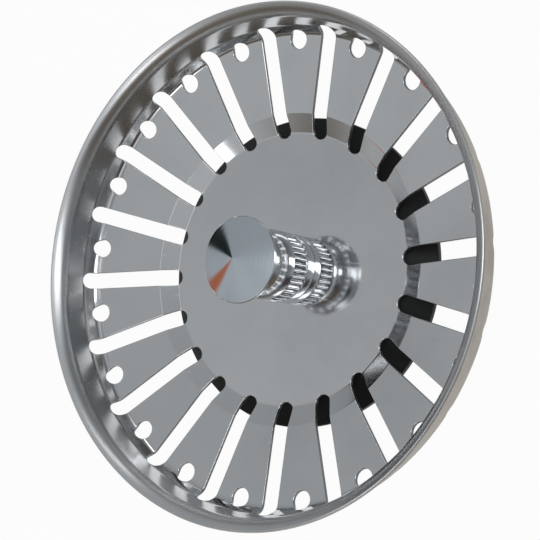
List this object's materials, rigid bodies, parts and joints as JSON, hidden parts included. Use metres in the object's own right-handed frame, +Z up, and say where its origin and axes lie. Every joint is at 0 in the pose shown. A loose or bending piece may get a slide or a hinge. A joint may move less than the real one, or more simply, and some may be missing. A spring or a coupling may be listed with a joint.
{
  "type": "sink strainer",
  "caption": "Pressed steel basket plug for a kitchen sink outlet: slotted strainer cup with a pull knob, a rubber stopper underneath and a drain post with a sprung ball catch.",
  "frame": {"origin": "on the strainer's axis, in the plane on which the rubber stopper seats in the drain", "axes": "+Z up through the knob; the catch balls lie on the X axis; a hole of the ring lies on +X"},
  "size_m": [0.0792, 0.0792, 0.0543],
  "materials": {
    "polished_steel": "mirror polished floor, satin rim and wall",
    "chrome": "polished chrome plate",
    "plain_steel": "plain stainless",
    "bearing_steel": "ground steel",
    "brass": "turned",
    "rubber": "smooth moulded"
  },
  "bodies": {
    "plug": {"basket": "polished_steel", "pull_knob": "chrome", "knob_gasket": "rubber", "joining_stud": "plain_steel", "spacer_bush": "brass", "stopper_seal": "rubber", "backing_plate": "plain_steel", "lock_washer": "plain_steel", "clamp_nut": "plain_steel", "drain_post": "chrome", "catch_spring": "bearing_steel"},
    "left_ball": {"catch_ball_left": "bearing_steel"},
    "right_ball": {"catch_ball_right": "bearing_steel"}
  },
  "joints": [
    {"name": "left_ball_press", "type": "slide", "parent": "plug", "child": "left_ball", "axis": [1, 0, 0], "range_m": [0, 0.0005], "stiffness_N_per_m": 300, "springref_m": -0.004, "deforming": ["catch_spring"]},
    {"name": "right_ball_press", "type": "slide", "parent": "plug", "child": "right_ball", "axis": [-1, 0, 0], "range_m": [0, 0.0005], "stiffness_N_per_m": 300, "springref_m": -0.004, "deforming": ["catch_spring"]}
  ]
}
